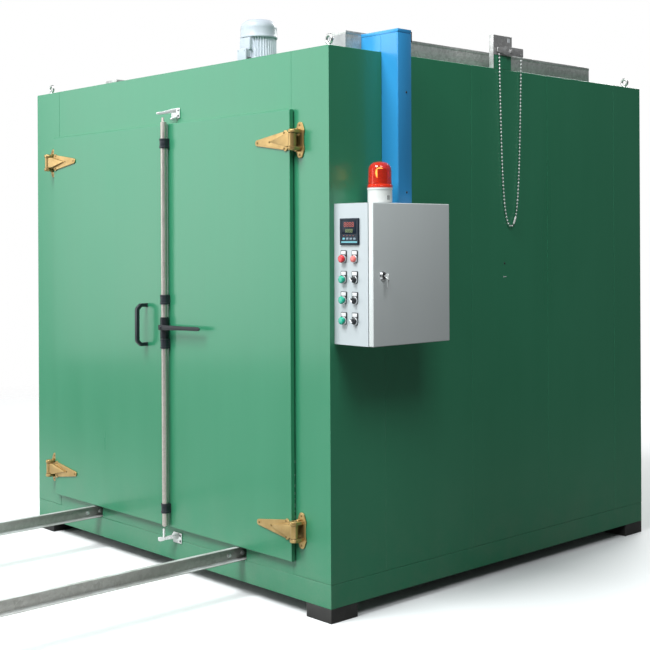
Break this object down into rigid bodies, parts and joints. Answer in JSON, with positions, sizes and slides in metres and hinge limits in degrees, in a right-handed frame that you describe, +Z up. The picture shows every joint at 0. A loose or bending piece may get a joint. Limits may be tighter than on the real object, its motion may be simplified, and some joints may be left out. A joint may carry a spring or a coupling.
{
  "type": "drying oven",
  "caption": "Walk-in drying oven: insulated green steel housing, strap-hinged double doors with lock rod, trolley rails, side control box with beacon, roof trunking and fan motor.",
  "frame": {"origin": "on the floor, under the middle of the whole part with its outside rails", "axes": "+Z up, front doors face -Y and the rails run out along -Y, control box on the +X side"},
  "size_m": [2.311, 3.52, 2.3913],
  "materials": {
    "green_paint": "satin enamel",
    "black_paint": "satin",
    "gold_plate": "satin",
    "galvanised": "galvanised",
    "grey_paint": "powder coat",
    "blue_paint": "gloss enamel",
    "motor_paint": "satin",
    "black_plastic": "matt",
    "white_plastic": "matt",
    "red_lens": "clear red",
    "red_button": "gloss",
    "green_button": "gloss"
  },
  "bodies": {
    "housing": {"base_frame": "green_paint", "front_left_corner": "green_paint", "front_right_corner": "green_paint", "left_wall": "green_paint", "right_wall": "green_paint", "back_wall": "green_paint", "roof_panel": "green_paint", "front_header": "green_paint", "front_sill": "green_paint", "foot_front_left": "black_paint", "foot_front_right": "black_paint", "foot_back_left": "black_paint", "foot_back_right": "black_paint", "left_bracket_top": "gold_plate", "left_bracket_bottom": "gold_plate", "right_bracket_top": "gold_plate", "right_bracket_bottom": "gold_plate", "floor_panel": "galvanised", "outer_rail_left": "galvanised", "outer_rail_right": "galvanised", "keeper_top": "galvanised", "keeper_bottom": "galvanised", "right_trunking": "galvanised", "left_trunking": "galvanised", "damper_bracket": "galvanised", "damper_lever": "galvanised", "damper_chain": "galvanised", "lifting_eye_front_left": "galvanised", "lifting_eye_front_right": "galvanised", "lifting_eye_back_left": "galvanised", "lifting_eye_back_right": "galvanised", "control_box": "grey_paint", "cable_duct": "blue_paint", "fan_motor": "motor_paint", "temperature_controller": "black_plastic", "beacon_base": "white_plastic", "beacon_dome": "red_lens"},
    "left_door": {"left_door": "green_paint", "left_strap_top": "gold_plate", "left_strap_bottom": "gold_plate", "pull_handle": "black_paint"},
    "right_door": {"right_door": "green_paint", "right_strap_top": "gold_plate", "right_strap_bottom": "gold_plate", "rod_guide_top": "black_paint", "rod_guide_upper": "black_paint", "rod_guide_lower": "black_paint", "rod_guide_bottom": "black_paint"},
    "lock": {"lock_rod": "galvanised", "lock_lever": "black_paint"},
    "box_door": {"control_box_door": "grey_paint"},
    "button_1": {"push_button_1": "red_button"},
    "button_2": {"push_button_2": "green_button"},
    "button_3": {"push_button_3": "green_button"},
    "button_4": {"push_button_4": "green_button"},
    "knob_1": {"selector_1": "black_plastic"},
    "knob_2": {"selector_2": "black_plastic"},
    "knob_3": {"selector_3": "black_plastic"}
  },
  "joints": [
    {"name": "left_door_swing", "type": "hinge", "parent": "housing", "child": "left_door", "pos_m": [-0.9955, -0.296, 1.04], "axis": [0, 0, -1], "range_deg": [0, 170]},
    {"name": "right_door_swing", "type": "hinge", "parent": "housing", "child": "right_door", "pos_m": [0.7645, -0.296, 1.04], "axis": [0, 0, 1], "range_deg": [0, 170]},
    {"name": "lock_rod_turn", "type": "hinge", "parent": "right_door", "child": "lock", "pos_m": [-0.0455, -0.3015, 1.03], "axis": [0, 0, -1], "range_deg": [0, 100]},
    {"name": "box_door_swing", "type": "hinge", "parent": "housing", "child": "box_door", "pos_m": [1.1025, 0.167, 1.27], "axis": [0, 0, 1], "range_deg": [0, 120]},
    {"name": "button_1_press", "type": "slide", "parent": "housing", "child": "button_1", "axis": [0, 1, 0], "range_m": [0, 0.004], "stiffness_N_per_m": 300},
    {"name": "button_2_press", "type": "slide", "parent": "housing", "child": "button_2", "axis": [0, 1, 0], "range_m": [0, 0.004], "stiffness_N_per_m": 300},
    {"name": "button_3_press", "type": "slide", "parent": "housing", "child": "button_3", "axis": [0, 1, 0], "range_m": [0, 0.004], "stiffness_N_per_m": 300},
    {"name": "button_4_press", "type": "slide", "parent": "housing", "child": "button_4", "axis": [0, 1, 0], "range_m": [0, 0.004], "stiffness_N_per_m": 300},
    {"name": "knob_1_turn", "type": "hinge", "parent": "housing", "child": "knob_1", "pos_m": [1.0335, -0.24, 1.2508], "axis": [0, 1, 0], "range_deg": [0, 90]},
    {"name": "knob_2_turn", "type": "hinge", "parent": "housing", "child": "knob_2", "pos_m": [1.0335, -0.24, 1.1766], "axis": [0, 1, 0], "range_deg": [0, 90]},
    {"name": "knob_3_turn", "type": "hinge", "parent": "housing", "child": "knob_3", "pos_m": [1.0335, -0.24, 1.1024], "axis": [0, 1, 0], "range_deg": [0, 90]}
  ]
}
